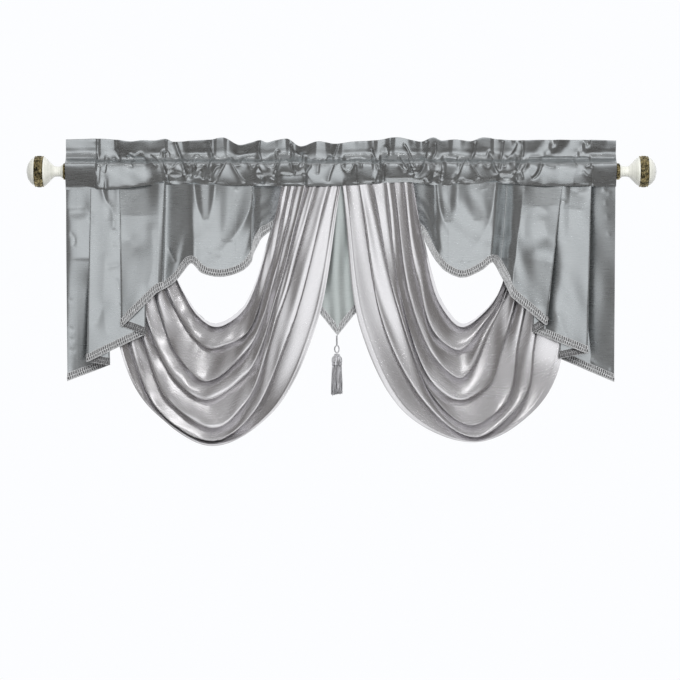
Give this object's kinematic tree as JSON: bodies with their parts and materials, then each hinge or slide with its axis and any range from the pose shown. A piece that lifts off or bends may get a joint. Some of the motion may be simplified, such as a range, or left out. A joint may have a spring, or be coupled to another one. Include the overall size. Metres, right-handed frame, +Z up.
{
  "type": "swag and tail drape on a curtain rod",
  "caption": "Gathered rod-pocket valance with satin swags, folded tails, scallops and a pointed centre with tassel, on a rod with ball finials.",
  "frame": {"origin": "middle of the rod's axis, half way between the two ends of the cloth", "axes": "+X along the rod to the right as seen from the room, -Y towards the room, +Y towards the wall, +Z up"},
  "size_m": [1.4469, 0.099, 0.7073],
  "materials": {
    "pole": "plain painted",
    "cream_gloss": "gloss, turned",
    "aged_bronze": "aged bronze",
    "taffeta": "silver-grey taffeta, fine cross weave, soft sheen",
    "satin": "pale silver satin, high sheen",
    "pale_satin": "pale grey-green satin weave",
    "gimp_braid": "looped silver-grey gimp braid",
    "tassel_yarn": "grey rayon yarn"
  },
  "bodies": {
    "root": {"rod": "pole", "left_finial": "cream_gloss", "right_finial": "cream_gloss", "left_finial_band": "aged_bronze", "right_finial_band": "aged_bronze", "left_collar": "aged_bronze", "right_collar": "aged_bronze", "heading": "taffeta", "left_cascade": "taffeta", "right_cascade": "taffeta", "left_cascade_trim": "gimp_braid", "right_cascade_trim": "gimp_braid", "left_swag": "satin", "right_swag": "satin", "centre_jabot": "pale_satin", "jabot_trim": "gimp_braid", "tassel_cord": "tassel_yarn", "tassel_loop": "tassel_yarn", "tassel": "tassel_yarn"}
  },
  "joints": []
}
